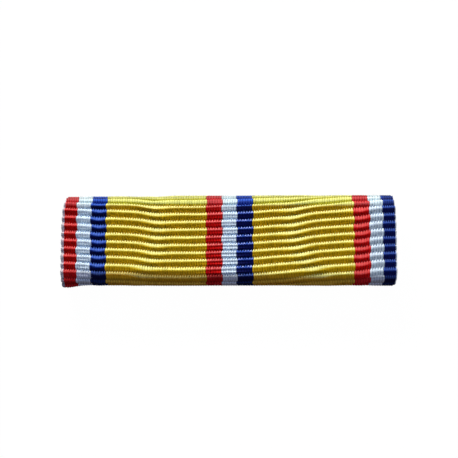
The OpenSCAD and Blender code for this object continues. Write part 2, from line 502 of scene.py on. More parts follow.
@dataclass(frozen=True)
class LoopFinish:
    """Pale weft silk, seen where its loops turn round the edge of the ribbon."""

    slot: str
    shade: Colour
    body: Colour
    crest: Colour

    # Places up a rib of the crest's end, the shade, the body and the next crest; these colours paint light in
    # reverse, darker on the lit crests and paler in the shade, to soften the lamps' highlights
    PLACES = (0.0, 0.1, 0.45, 0.75)
    # Lumps of the twist of the fibres round the edge and to a rib, and how far it slants
    TWIST = (1.5, 16.0)
    TWIST_SLANT = 3.0
    # Tone and roughness, each with its spread over the twist, and strength and depth of the relief
    TONE = (0.8, 0.4)
    ROUGHNESS = (0.4, 0.25)
    RELIEF = (0.5, 0.02)

    def material(self) -> bpy.types.Material:
        """Makes the finish, with a twist of fibres along the loops.

        Returns:
            The material.
        """
        bench = ShaderBench(self.slot)
        across, along = bench.weave()
        colours = (self.crest, self.shade, self.body, self.crest)
        dye = bench.ramp(bench.maths("FRACT", along), tuple(zip(self.PLACES, colours)))
        place = bench.point(across * self.TWIST[0], along * self.TWIST[1] + across * self.TWIST_SLANT)
        twist = bench.noise(place, 1.0, detail=3.0, roughness=0.6)
        return bench.surface(
            {
                "Base Color": bench.toned(dye, self.TONE[0] + twist * self.TONE[1]),
                "Roughness": self.ROUGHNESS[0] + twist * self.ROUGHNESS[1],
                "Normal": bench.bump(twist, *self.RELIEF),
            }
        )


@dataclass(frozen=True)
class BrassFinish:
    """Brushed brass sheet that has dulled unevenly and is rubbed bright along its edges."""

    bright: Colour = (0.83, 0.60, 0.27)
    dull: Colour = (0.36, 0.22, 0.09)
    metallic: float = 0.65

    # Lumps of tarnish and hairs of the brush, per metre, and how much of the hairs' scale holds along X
    TARNISH_SCALE = 420.0
    BRUSH_SCALE = 9000.0
    BRUSH_STRETCH = (0.03, 1.0, 1.0)
    # Pointiness over which an edge is rubbed bright, and noise over which the sheet is dulled elsewhere
    RUBBED = (0.5, 0.56)
    TARNISHED = (0.42, 0.62)
    # Shares of the tarnish and of the hairs in the dulling
    TARNISH_SHARE = 0.75
    HAIR_SHARE = 0.15
    # Roughness, with its spread over the dulling, and strength and depth of the brush marks
    ROUGHNESS = (0.3, 0.28)
    RELIEF = (0.35, 0.02)

    def material(self) -> bpy.types.Material:
        """Makes the finish from the plate's own coordinates.

        Returns:
            The material, with the brush marks along the plate.
        """
        bench = ShaderBench("brushed_brass")
        place = bench.place()
        along = bench.signal("ShaderNodeVectorMath", {0: place, 1: self.BRUSH_STRETCH}, operation="MULTIPLY")
        hairs = bench.noise(along, self.BRUSH_SCALE, detail=4.0, roughness=0.7)
        patches = bench.noise(place, self.TARNISH_SCALE, detail=4.0, roughness=0.6)
        edges = bench.signal("ShaderNodeNewGeometry", None, "Pointiness")
        tarnish = bench.ranged(patches, *self.TARNISHED) * (1.0 - bench.ranged(edges, *self.RUBBED))
        dulled = tarnish * self.TARNISH_SHARE + hairs * self.HAIR_SHARE
        return bench.surface(
            {
                "Base Color": bench.mix(dulled, self.bright, self.dull),
                "Metallic": self.metallic,
                "Roughness": self.ROUGHNESS[0] + dulled * self.ROUGHNESS[1],
                "Normal": bench.bump(hairs, *self.RELIEF),
            }
        )


class Dye(Enum):
    """The colours that the ribbon's warp is dyed in, each with its painted shade, highlight and top-edge
    light.
    """

    RED = SilkFinish(
        slot="red_warp",
        furrow=(0.45, 0.0, 0.0),
        shade=(0.65, 0.001, 0.001),
        crest=(0.69, 0.09, 0.09),
        top_lit=(0.6, 0.06, 0.065),
        top_furrow_shade=(0.46, 0.016, 0.02),
        foot_shade=(0.72, 0.004, 0.008),
        right_crest_dim=0.0,
        flank_tone=-0.12,
        glint=0.1,
    )
    WHITE = SilkFinish(
        slot="white_warp",
        furrow=(0.7, 0.76, 0.9),
        shade=(0.74, 0.87, 1.0),
        crest=(0.68, 0.79, 0.9),
        top_lit=(0.78, 0.92, 0.98),
        top_furrow_shade=(0.46, 0.58, 0.64),
        foot_shade=(0.83, 0.84, 0.98),
        float_edge_shade=0.2,
        right_crest_dim=0.06,
        flank_tone=0.26,
    )
    BLUE = SilkFinish(
        slot="blue_warp",
        furrow=(0.0, 0.0, 0.03),
        shade=(0.0, 0.003, 0.08),
        crest=(0.06, 0.14, 0.56),
        top_lit=(0.03, 0.105, 0.58),
        top_furrow_shade=(0.006, 0.028, 0.25),
        foot_shade=(0.004, 0.005, 0.06),
        crest_at=(0.82, 0.95),
        glint=0.36,
    )
    YELLOW = SilkFinish(
        slot="yellow_warp",
        furrow=(0.5, 0.23, 0.0),
        shade=(0.76, 0.42, 0.002),
        crest=(0.86, 0.84, 0.3),
        top_lit=(0.84, 0.84, 0.25),
        top_furrow_shade=(0.42, 0.39, 0.03),
        foot_shade=(0.9, 0.44, 0.015),
        crest_at=(0.82, 0.92),
    )


class Side(Enum):
    """The two sides of the ribbon, as signs of X."""

    LEFT = -1
    RIGHT = 1


@dataclass(frozen=True)
class RibbonForm:
    """Where each point of the wound ribbon lies: the source's sizes, with more of the photograph's relief."""

    web: float
    plate_r: float
    axis_z: float
    width: float
    wrap_gap: float = 0.05
    cloth_t: float = 0.4
    rib_spacing: float = 0.8
    rib_climb: float = 1.65
    face_draw: float = 0.1
    back_draw: float = 0.5
    lip_l: float = 1.6
    end_setback: float = 0.25

    # Place of a furrow beside the middle of the face, as a share of the spacing
    FURROW_PLACE = 0.475
    # How the ribs lean across the face: share of the half width, share of the climb
    LEAN = (
        (-1.0, -0.08), (-0.9, -0.13), (-0.78, -0.2), (-0.7, -0.215), (-0.55, -0.275), (-0.44, -0.425),
        (-0.3, -0.445), (-0.15, -0.43), (-0.05, -0.385), (0.09, -0.36), (0.14, -0.33), (0.38, -0.1),
        (0.47, 0.07), (0.55, 0.16), (0.76, 0.32), (0.8, 0.4), (0.88, 0.49), (1.0, 0.525),
    )
    # Share of the half width over which a bend in the lean is rounded, and readings that round it
    LEAN_SOFTNESS = 0.05
    LEAN_TAPS = 5
    # The cloth stands a little off the plate at the lower left corner: height, where that grows to its full,
    # and the middle and half the length of it along the ribbon, before the bottom edge
    LOOSE = 0.26
    LOOSE_V = (-0.86, -0.98)
    LOOSE_S = 0.3
    LOOSE_L = 1.0
    # It is pulled in along the left half of the top edge: share of the half width and distance, and half the
    # length of that along the ribbon
    TIGHT = (
        (-1.0, 0.19), (-0.9, 0.17), (-0.84, 0.11), (-0.57, 0.11), (-0.44, 0.15), (-0.33, 0.03), (0.0, 0.0),
    )
    TIGHT_L = 1.3
    # How the ribs are drawn down over the bottom edge: place below the middle of the face, distance
    DRAWN = ((2.6, 0.0), (3.0, 0.08), (3.45, 0.11), (3.7, 0.19), (4.1, 0.29), (4.4, 0.32))
    # Share of it that is missing at shares of the half width, until the places where it is made up
    LATE = ((-1.0, 0.8), (-0.85, 0.5), (-0.65, 0.2), (-0.5, 0.0))
    MADE_UP = (3.3, 4.0)
    # How they are drawn up over the top edge: place above the middle of the face, distance, and share of that
    # at shares of the half width
    RAISED = ((2.9, 0.0), (3.7, 0.05), (4.4, 0.08))
    RAISED_V = ((-0.6, 0.4), (0.0, 1.0), (0.6, 1.0), (0.76, 4.2), (0.84, 1.7))

    @classmethod
    def round_plate(cls, node: str, plate_setback: float) -> "RibbonForm":
        """Works out the form from the box of the plate that the ribbon is wound round.

        Args:
            node: Name of the plate's node.
            plate_setback: Length that the plate stops short of the ribbon's width at each end.

        Returns:
            The ribbon's form.
        """
        low, high = (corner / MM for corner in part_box(node))
        radius = (high.z - low.z) / 2
        return cls(
            web=high.y - low.y - 2 * radius,
            plate_r=radius,
            axis_z=(high.z + low.z) / 2,
            width=high.x - low.x + 2 * plate_setback,
        )

    @property
    def rib_h(self) -> float:
        """Height of a rib above the furrows."""
        return self.axis_z - self.plate_r - self.wrap_gap - self.cloth_t

    @property
    def bend_start(self) -> float:
        """Place along the ribbon where a bend starts, over the crests from the middle of the face."""
        return self.web / 2

    @property
    def edge_place(self) -> float:
        """Place along the ribbon at the bar's top edge."""
        return self.bend_start + math.pi * self.axis_z / 2

    @property
    def bend_end(self) -> float:
        """Place along the ribbon where a bend ends at the back."""
        return self.bend_start + math.pi * self.axis_z

    @property
    def ribbon_end(self) -> float:
        """Place along the ribbon of its cut end."""
        return self.bend_end + self.lip_l - self.end_setback

    def wound(self, s: Array, h: Array) -> Tuple[Array, Array]:
        """Height up the bar and height above its back.

        Args:
            s: Places along the ribbon.
            h: Heights above the ribbon's inner side.

        Returns:
            The y and the z of each point.
        """
        run = np.abs(s)
        radius = self.plate_r + self.wrap_gap + h
        turn = np.clip((run - self.bend_start) / self.axis_z, 0.0, math.pi)
        straight = np.minimum(run, self.bend_start) - np.maximum(run - self.bend_end, 0.0)
        return np.sign(s) * (straight + radius * np.sin(turn)), self.axis_z + radius * np.cos(turn)

    def fade(self, s: Array) -> Array:
        """Share of the ribs' climb and draw that is left on the way to the square cut ends."""
        return np.clip((self.ribbon_end - np.abs(s)) / (self.ribbon_end - self.edge_place), 0.0, 1.0)

    def climb(self, v: Array, s: Array) -> Array:
        """Distance that the ribs have climbed, at shares of the half width and places along the ribbon."""
        taps = np.linspace(-self.LEAN_SOFTNESS, self.LEAN_SOFTNESS, self.LEAN_TAPS)
        return self.rib_climb * (sum(look_up(v + tap, self.LEAN) for tap in taps) / len(taps)) * self.fade(s)

    def drawn(self, v: Array, s: Array) -> Array:
        """Distance that the ribs are drawn up along the ribbon over its edges, or down where it is negative.

        Args:
            v: Shares of the half width.
            s: Places along the ribbon.

        Returns:
            The distance at each point.
        """
        raised = look_up(s, self.RAISED) * look_up(v, self.RAISED_V)
        late = look_up(v, self.LATE) * (1.0 - smooth_step(-s, *self.MADE_UP))
        return (raised - look_up(-s, self.DRAWN) * (1.0 - late)) * self.fade(s)

    def slack(self, v: Array, s: Array) -> Array:
        """Height that the cloth stands off its plain winding at its two edges, negative where it is tight."""
        loose = smooth_step(v, *self.LOOSE_V) * hill(s, self.LOOSE_S - self.edge_place, self.LOOSE_L)
        return self.LOOSE * loose - look_up(v, self.TIGHT) * hill(s, self.edge_place, self.TIGHT_L)

    def point(self, v: Array, s: Array, h: Array) -> Array:
        """Points of the ribbon.

        Args:
            v: Shares of the half width, from -1 to 1.
            s: Places along the ribbon.
            h: Heights above its inner side.

        Returns:
            An array of points, with x, y and z last.
        """
        v, s, h = np.broadcast_arrays(v, s, h)
        y, z = self.wound(s, h + self.slack(v, s) * np.minimum(1.0, h / self.cloth_t))
        half_width = self.width / 2 - self.face_draw * y / (self.web / 2 + self.axis_z)
        half_width = half_width - self.back_draw * (1 - z / 2 / self.axis_z)
        return np.stack([v * half_width, y, z], axis=-1)


@dataclass(frozen=True)
class Weave:
    """The corded weave: on every rib a row of warp floats, set half a float over on the next one."""

    form: RibbonForm
    float_w: float = 0.263
    tip: float = 0.105
    groove: float = 0.06
    wander: float = 0.015

    # Columns of points on one float, and those by which the floats of every other rib are set over
    COLUMNS = 6
    SET_OVER = 3
    # Sections of a rib: share of the way from the furrow above down to the furrow below, height where the
    # cord is round, height where the cloth was pressed and the crest slid down, and height where the cord
    # shows a second crest
    SECTION = (
        (0.0, 0.0, 0.0, 0.0), (0.06, 0.14, 0.12, 0.14), (0.11, 0.46, 0.27, 0.5), (0.17, 0.8, 0.43, 0.84),
        (0.23, 0.96, 0.58, 0.95), (0.3, 1.0, 0.74, 0.92), (0.38, 0.97, 0.9, 0.82), (0.46, 0.89, 0.99, 0.71),
        (0.54, 0.79, 0.99, 0.66), (0.6, 0.7, 0.93, 0.7), (0.66, 0.62, 0.84, 0.79), (0.72, 0.54, 0.73, 0.8),
        (0.8, 0.43, 0.56, 0.6), (0.9, 0.25, 0.32, 0.3), (1.0, 0.0, 0.0, 0.0),
    )
    # Least share of the spacing from a row to a cut end
    CLEAR = 0.02
    # Length before a cut end over which the floats cease to swing and wander
    HELD_L = 0.4
    # Waves of the wander: turn in radians across the half width, and from one rib to the next
    WANDER_WAVES = ((19.0, 2.3), (7.0, -1.1))
    # Share of a rib, beside each furrow, over which the grooves between its floats open
    GROOVE_OPENING = 0.12
    # Bands where the cloth is pressed: place across the face, middle and reach up it of the band's bow, how
    # far the bow draws it over, half its width, and how far it is pressed
    PRESSED = (
        (-7.45, 0.9, 2.9, -0.65, 1.25, 1.0),
        (6.6, 1.6, 3.0, 0.9, 1.4, 1.1),
        (13.8, 0.0, 6.0, 0.0, 0.9, 1.25),
        (-13.5, 0.0, 6.0, 0.0, 0.7, 0.95),
    )
    # Bands of second crests: place across the face, half width and strength
    SECOND = ((-0.1, 2.5, 1.0), (-15.0, 0.8, 0.55), (-11.0, 1.5, 0.15))
    # Heights between which the second crests grow from the bar's top to its bottom edge, and their growth
    SECOND_Y = (3.5, -3.5)
    SECOND_GROWTH = (0.5, 1.35)
    # Where the furrows are deeper, or shallower where it is negative: place, reach and share of their depth,
    # along the ribbon over its top and bottom edges, and across it at its left and right ends
    DEPTH_ALONG = ((4.1, 1.3, 0.5), (-4.05, 0.6, -0.65))
    DEPTH_ACROSS = ((-17.4, 4.0, 0.15), (16.8, 3.8, -0.42))
    # Places down a rib where the pressed cloth takes the painted shade and highlight of a round cord's places
    PRESSED_TONES = ((0.0, 0.0), (0.5, 0.3), (1.0, 1.0))
    # Where the painted crest highlight of the middle blue stripe is narrower: place across the face, half
    # width, and how much it loses
    NARROWED = ((1.66, 1.1, 0.5),)

    @property
    def zigzag(self) -> float:
        """Share of the half width that a border between two stripes swings to each side of its mean."""
        return self.float_w / 4 / (self.form.width / 2)

    def ribs(self) -> Tuple[Array, Array]:
        """Rows of points along the ribbon, from the lower cut end to the upper.

        Returns:
            The number of the rib and the share of the way up it, for each row. A row in a furrow is the
            first row of the rib above it.
        """
        shares = sorted(1.0 - row[0] for row in self.SECTION)[:-1]
        last = self.form.ribbon_end / self.form.rib_spacing
        first_rib = math.floor(-last - self.form.FURROW_PLACE)
        last_rib = math.ceil(last - self.form.FURROW_PLACE)
        rows = [(rib, share) for rib in range(first_rib, last_rib) for share in shares]
        kept = [row for row in rows if abs(sum(row) + self.form.FURROW_PLACE) < last - self.CLEAR]
        ribs, ups = zip(self._on_rib(-last), *kept, self._on_rib(last))
        return np.array(ribs), np.array(ups)

    def _on_rib(self, place: float) -> Tuple[int, float]:
        """Number of a rib and the share of the way up it, for a place in spacings."""
        at = place - self.form.FURROW_PLACE
        return math.floor(at), at - math.floor(at)

    def pressed(self, x: Array, y: Array) -> Array:
        """How far the cloth is pressed.

        Args:
            x: Places across the face.
            y: Places up the face.

        Returns:
            The share at each place, which is 0 on plain cloth.
        """
        found = np.zeros(np.broadcast(x, y).shape)
        for centre, middle, reach, bow, half, strength in self.PRESSED:
            line = centre + bow * ((y - middle) / reach) ** 2
            found = np.maximum(found, hill(x, line, half) * strength)
        return found

    def second(self, x: Array, y: Array) -> Array:
        """How far the cords show a second crest, at places across and up the face."""
        least, most = self.SECOND_GROWTH
        return hills(x, self.SECOND) * (least + (most - least) * smooth_step(y, *self.SECOND_Y))

    def section(self, up: Array, press: Array, second: Array) -> Array:
        """Height of a rib as a share of its full height.

        Args:
            up: Shares of the way up the rib.
            press: How far the cloth is pressed.
            second: How far the cord shows a second crest.

        Returns:
            The height at each place.
        """
        places, *heights = (np.array(column) for column in zip(*self.SECTION))
        cord, flat, twin = (np.interp(1.0 - up, places, column) for column in heights)
        return np.minimum(1.0, (cord + (twin - cord) * second) * (1.0 - press) + flat * press)

    def first_column(self, rib: Array) -> Array:
        """Number of the column where the floats of a rib begin, which every other rib sets over."""
        return np.where(rib % 2 == 1, self.SET_OVER, 0)

    def crown(self, column: Array, rib: Array) -> Array:
        """Height over the width of a float, from 0 at its edge to 1 along its middle."""
        phase = ((column - self.first_column(rib)) % self.COLUMNS) / self.COLUMNS
        return np.sqrt(np.clip(1.0 - (2.0 * phase - 1.0) ** 2, 0.0, 1.0))

    def cloth(self, v: Array, column: Array, rib: Array, up: Array) -> Tuple[Array, Array, Array]:
        """Place along the ribbon, height and place on the painted shading ramp of points of the woven side.

        Args:
            v: Shares of the half width, one for each column.
            column: Numbers of the columns.
            rib: Number of the rib, one for each row.
            up: Share of the way up it, one for each row.

        Returns:
            The place along the ribbon, the height above its inner side, and the place up a round cord whose
            painted shade and highlight it takes, as rows by columns.
        """
        form = self.form
        v, column = v[None, :], column[None, :]
        rib, up = rib[:, None], up[:, None]
        plain = (rib + up + form.FURROW_PLACE) * form.rib_spacing
        swing = np.cos(2 * math.pi * (column - self.first_column(rib)) / self.COLUMNS)
        shift = swing * (1.0 - 2.0 * up) * np.abs(1.0 - 2.0 * up) * self.tip
        wander = self.wander
        for across, along in self.WANDER_WAVES:
            wander = wander * np.sin(v * across + rib * along)
        held = smooth_step(form.ribbon_end - np.abs(plain), 0.0, self.HELD_L)
        s = plain + form.climb(v, plain) + (shift + wander) * held
        s = np.clip(s + form.drawn(v, s), -form.ribbon_end, form.ribbon_end)
        x, y = v * form.width / 2, form.wound(s, form.cloth_t)[0]
        press = self.pressed(x, y)
        depth = 1.0 + hills(s, self.DEPTH_ALONG) + hills(x, self.DEPTH_ACROSS)
        ridge = form.rib_h * (1.0 - depth * (1.0 - self.section(up, press, self.second(x, y))))
        opened = smooth_step(np.minimum(up, 1.0 - up), 0.0, self.GROOVE_OPENING)
        dip = self.groove * (1.0 - self.crown(column, rib)) * opened
        tone = up + (1.0 - look_up(1.0 - up, self.PRESSED_TONES) - up) * press
        tone = tone - hills(x, self.NARROWED) * tone * (1.0 - tone)
        return s, form.cloth_t + ridge - dip, tone


@dataclass
class MeshParts:
    """Points and triangles gathered for one mesh, with a place on the weave's map for each corner."""

    points: list = field(default_factory=list)
    triangles: list = field(default_factory=list)
    corners: list = field(default_factory=list)
    count: int = 0

    # Place on the map of faces that show no floats
    PLAIN = (0.5, 0.5)

    def add_points(self, points: Array) -> Array:
        """Adds points.

        Args:
            points: An array of points, with x, y and z last.

        Returns:
            Their numbers, in the shape that they came in.
        """
        flat = points.reshape(-1, 3)
        numbers = np.arange(self.count, self.count + len(flat)).reshape(points.shape[:-1])
        self.points.append(flat)
        self.count += len(flat)
        return numbers

    def add_triangles(self, triangles: Array, corners: Optional[Array] = None) -> None:
        """Adds triangles.

        Args:
            triangles: Three point numbers each.
            corners: For each triangle the places of its corners on the map, or None where it shows no floats.
        """
        if corners is None:
            corners = np.broadcast_to(self.PLAIN, (len(triangles), 3, 2))
        self.triangles.append(triangles)
        self.corners.append(corners)

    def add_cells(
        self, cells: Sequence[Array], corners: Optional[Sequence[Array]] = None, flip: bool = False
    ) -> None:
        """Adds two triangles for each cell of four points.

        Args:
            cells: Numbers of the cells' points: the two of one row, and then the two of the next.
            corners: The places of those points on the map, or None where the cells show no floats.
            flip: Whether the cells face the other way.
        """
        for picks in ((0, 1, 3), (0, 3, 2)):
            picks = picks[::-1] if flip else picks
            places = None if corners is None else np.stack([corners[i] for i in picks], 1)
            self.add_triangles(np.stack([cells[i] for i in picks], -1), places)

    def mesh_object(self, name: str, crease_deg: float) -> bpy.types.Object:
        """Makes the object in metres, smooth where its faces meet at less than an angle.

        Args:
            name: Name of the object and its mesh.
            crease_deg: Least angle between two faces that stays a crease.

        Returns:
            The new object, in the scene.
        """
        points = np.concatenate(self.points) * MM
        triangles = np.concatenate(self.triangles)
        corners = np.concatenate(self.corners).reshape(-1, 2)
        used, numbers = np.unique(triangles, return_inverse=True)
        mesh = bpy.data.meshes.new(name)
        mesh.from_pydata(points[used], [], numbers.reshape(-1, 3), shade_flat=False)
        layer = mesh.uv_layers.new(name=WEAVE_MAP)
        layer.uv.foreach_set("vector", corners.astype(np.float32).ravel())
        mesh.set_sharp_from_angle(angle=math.radians(crease_deg))
        made = bpy.data.objects.new(name, mesh)
        bpy.context.scene.collection.objects.link(made)
        return made


def zipped(upper: Array, upper_at: Array, lower: Array, lower_at: Array) -> Array:
    """Triangles between two lines of points, each of which runs the same way.

    Args:
        upper: Numbers of the points of the first line.
        upper_at: Their places along the run, never falling.
        lower: Numbers of the points of the second line.
        lower_at: Their places along the run.

    Returns:
        The triangles, which face left of the run with the first line on top.
    """
    made = []
    i = j = 0
    while i < len(upper) - 1 or j < len(lower) - 1:
        on_upper = j == len(lower) - 1 or (
            i < len(upper) - 1 and upper_at[i + 1] + upper_at[i] <= lower_at[j + 1] + lower_at[j]
        )
        if on_upper:
            made.append((upper[i], lower[j], upper[i + 1]))
            i += 1
        else:
            made.append((upper[i], lower[j], lower[j + 1]))
            j += 1
    return np.array(made)


@dataclass(frozen=True)
class WovenSide:
    """The woven side of a stripe, as rows up the ribbon by columns across it."""

    # Share of the half width of each column, number of the rib of each row, and share of the way up it
    v: Array
    rib: Array
    up: Array
    # Place along the ribbon, height above its inner side and place on the painted shading ramp of each point
    s: Array
    h: Array
    tone: Array


@dataclass
class WarpStripe:
    """One stripe of the ribbon: a run of warp in one colour, woven over the cords and closed inside."""

    name: str
    dye: Dye
    start: float
    end: float
    weave: Weave
    outer: Optional[Side] = None

    # Steps of the smooth inner side round a bend
    BEND_STEPS = 12
    CREASE_DEG = 62.0

    @property
    def floats(self) -> int:
        """Number of floats side by side on each rib."""
        return max(1, round((self.end - self.start) * self.weave.form.width / 2 / self.weave.float_w))

    @cached_property
    def woven(self) -> WovenSide:
        """The stripe's woven side, worked out once."""
        (column, v), (rib, up) = self.columns(), self.weave.ribs()
        return WovenSide(v, rib, up, *self.weave.cloth(v, column, rib, up))

    def columns(self) -> Tuple[Array, Array]:
        """Columns of points across the stripe.

        Returns:
            Their numbers, and their shares of the half width.
        """
        weave = self.weave
        last = self.floats * weave.COLUMNS
        known = [0, weave.SET_OVER, last, last + weave.SET_OVER]
        swing = weave.zigzag
        at = [self.start - swing, self.start + swing, self.end - swing, self.end + swing]
        if self.outer is Side.LEFT:
            at[:2] = self.start, self.start + 2 * swing
        elif self.outer is Side.RIGHT:
            at[2:] = self.end - 2 * swing, self.end
        numbers = np.arange(last + weave.SET_OVER + 1)
        return numbers, np.interp(numbers, known, at)

    def limits(self, rib: Array) -> Tuple[Array, Array]:
        """Limits of the stripe, which swing where it meets another stripe.

        Args:
            rib: Numbers of ribs.

        Returns:
            The numbers of the first and of the last column on each rib.
        """
        first = self.weave.first_column(rib)
        last = first + self.floats * self.weave.COLUMNS
        if self.outer is Side.LEFT:
            first = np.zeros_like(first)
        elif self.outer is Side.RIGHT:
            last = np.full_like(last, self.floats * self.weave.COLUMNS + self.weave.SET_OVER)
        return first, last

    def inner_places(self) -> Array:
        """Places along the ribbon of the rows of the smooth inner side.

        Returns:
            The places, from the lower cut end up.
        """
        form = self.weave.form
        bend = np.linspace(form.bend_start, form.bend_end, self.BEND_STEPS + 1)
        upper = np.append(bend, form.ribbon_end)
        return np.concatenate([-upper[::-1], upper])

    def border(self, at_end: bool) -> Tuple[Array, Array, Array]:
        """Points of the woven side along a swinging border, from the lower cut end up.

        Args:
            at_end: Whether the border is the stripe's right one.

        Returns:
            Their rows, their columns, and their places along the ribbon, which never fall.
        """
        first = self.limits(self.woven.rib)[int(at_end)]
        last_row = len(first) - 1
        rows, columns = [0], [first[0]]
        for row in range(1, last_row + 1):
            here = first[row - 1]
            there = first[row] if row < last_row else here
            step = 1 if there > here else -1
            path = range(here, there + step, step)
            rows.extend([row] * len(path))
            columns.extend(path)
        rows, columns = np.array(rows), np.array(columns)
        return rows, columns, np.maximum.accumulate(self.woven.s[rows, columns])

    def build(self) -> bpy.types.Object:
        """Weaves the stripe.

        Returns:
            The closed mesh, on the slot of its dye.
        """
        form, woven = self.weave.form, self.woven
        parts = MeshParts()
        outer = parts.add_points(form.point(woven.v[None, :], woven.s, woven.h))
        borders = np.array([[self.start, self.end]])
        inner = parts.add_points(form.point(borders, self.inner_places()[:, None], np.array(0.0)))
        self._add_woven_side(parts, outer)
        parts.add_cells((inner[:-1, 0], inner[:-1, 1], inner[1:, 0], inner[1:, 1]), flip=True)
        self._add_edges(parts, outer, inner)
        made = parts.mesh_object(self.name.replace("_", "_warp_", 1), self.CREASE_DEG)
        made.data.materials.append(self.dye.value.material())
        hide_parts(self.name)
        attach(made, BODY)
        return made

    def _add_woven_side(self, parts: MeshParts, outer: Array) -> None:
        """Adds the floats, in the cells between the two swinging borders.

        Args:
            parts: Where the faces go.
            outer: Numbers of the points, as rows by columns.
        """
        rib, tone = self.woven.rib, self.woven.tone
        at_row, at_column = np.indices((outer.shape[0] - 1, outer.shape[1] - 1))
        first, last = self.limits(rib[at_row])
        kept = (at_column >= first) & (at_column < last)
        r, c = at_row[kept], at_column[kept]
        first = self.weave.first_column(rib)[r]
        cells, corners = [], []
        for down, right in ((0, 0), (0, 1), (1, 0), (1, 1)):
            across = (c + right - first) / self.weave.COLUMNS
            share = np.where(rib[r + down] > rib[r], 1.0, tone[r + down, c + right])
            cells.append(outer[r + down, c + right])
            corners.append(np.stack([across, rib[r] + np.minimum(share, 1.0 - MAP_SEAM)], -1))
        parts.add_cells(cells, corners)

    def _add_edges(self, parts: MeshParts, outer: Array, inner: Array) -> None:
        """Adds the walls beside the two neighbours, and the cut through the cloth at each end of the ribbon.

        Args:
            parts: Where the faces go.
            outer: Numbers of the woven side's points.
            inner: Numbers of the inner side's points, as rows by two borders.
        """
        for at_end in (False, True):
            rows, columns, run = self.border(at_end)
            wall = zipped(outer[rows, columns], run, inner[:, int(at_end)], self.inner_places())
            parts.add_triangles(wall if at_end else wall[:, ::-1])
        for row, cell_row in ((0, 0), (-1, -2)):
            first, last = self.limits(self.woven.rib[[cell_row]])
            line = np.arange(first[0], last[0] + 1)
            cut = zipped(outer[row, line], self.woven.v[line], inner[row], (self.start, self.end))
            parts.add_triangles(cut if row == 0 else cut[:, ::-1])


@dataclass
class Selvedge:
    """One turned edge of the ribbon, where strands of weft loop round the last warp of every rib."""

    side: Side
    neighbour: WarpStripe
    finish: LoopFinish

    # Points round the turned edge
    STEPS = 12
    # Strands in the loop of one rib, their slant round the edge, their relief and its mean
    STRANDS = 3
    STRAND_SLANT = 0.9
    STRAND_H = 0.07
    STRAND_MEAN = 0.6
    # Share of the width by which the edge draws in between two ribs, and powers that round the loops up a rib
    # and round the edge
    DRAW = 0.2
    RIB_POWER = 0.6
    EDGE_POWER = 0.7
    # How far the loops are tucked in over the top edge, and half the length
    TUCK = 0.9
    TUCK_L = 2.4
    CREASE_DEG = 75.0

    @property
    def name(self) -> str:
        """Name of the node that the edge stands for."""
        return f"selvedge_{self.side.name.lower()}"

    def build(self) -> bpy.types.Object:
        """Winds the loops round the edge.

        Returns:
            The closed mesh.
        """
        form, woven = self.neighbour.weave.form, self.neighbour.woven
        rows, columns, s = self.neighbour.border(at_end=self.side is Side.RIGHT)
        along = woven.rib[rows] + woven.up[rows]
        turn = np.linspace(0.0, math.pi, self.STEPS + 1)[None, :]
        full = np.sin(math.pi * (along % 1.0)) ** self.RIB_POWER
        drawn = 1.0 - self.DRAW * (1.0 - full)
        drawn = drawn * (1.0 - self.TUCK * hill(s, form.edge_place, self.TUCK_L))
        strand = np.abs(np.sin(math.pi * self.STRANDS * along[:, None] + self.STRAND_SLANT * turn))
        relief = 1.0 + self.STRAND_H * (strand - self.STRAND_MEAN)
        out = np.sin(turn) ** self.EDGE_POWER * drawn[:, None] * relief
        v = woven.v[columns][:, None]
        h = woven.h[rows, columns][:, None] * (1.0 + np.cos(turn)) / 2.0
        parts = MeshParts()
        tube = parts.add_points(form.point(v + (self.side.value - v) * out, s[:, None], h))
        self._add_tube(parts, tube, along)
        made = parts.mesh_object(f"weft_loops_{self.side.name.lower()}", self.CREASE_DEG)
        made.data.materials.append(self.finish.material())
        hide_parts(self.name)
        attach(made, BODY)
        return made

    def _add_tube(self, parts: MeshParts, tube: Array, along: Array) -> None:
        """Adds the faces round the edge and the cut at each of its ends.

        Args:
            parts: Where the faces go.
            tube: Numbers of the points, as places along the ribbon by steps round the edge.
            along: Place on the map of each row.
        """
        steps = tube.shape[1]
        row, step = (grid.ravel() for grid in np.indices((len(tube) - 1, steps)))
        around = np.append(np.linspace(0.0, 1.0, steps), 1.0)
        low = along[row]
        high = np.where(along[row + 1] > low, along[row + 1] - MAP_SEAM, low)
        cells, corners = [], []
        for down, right in ((0, 0), (0, 1), (1, 0), (1, 1)):
            cells.append(tube[row + down, (step + right) % steps])
            corners.append(np.stack([around[step + right], high if down else low], -1))
        turned = self.side is Side.LEFT
        parts.add_cells(cells, corners, flip=turned)
        fan = np.arange(1, steps - 1)
        for end, flip in ((0, turned), (-1, not turned)):
            ring = tube[end]
            cap = np.stack([np.full(len(fan), ring[0]), ring[fan + 1], ring[fan]], -1)
            parts.add_triangles(cap[:, ::-1] if flip else cap)


@dataclass
class ChannelPlate:
    """The folded channel inside the ribbon, which keeps the solid of the frame."""

    finish: BrassFinish = BrassFinish()

    def build(self) -> bpy.types.Object:
        """Dresses the plate's own solid in its finish.

        Returns:
            The frame's object.
        """
        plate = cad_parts["channel_plate"]
        plate.data.materials.clear()
        plate.data.materials.append(self.finish.material())
        return plate


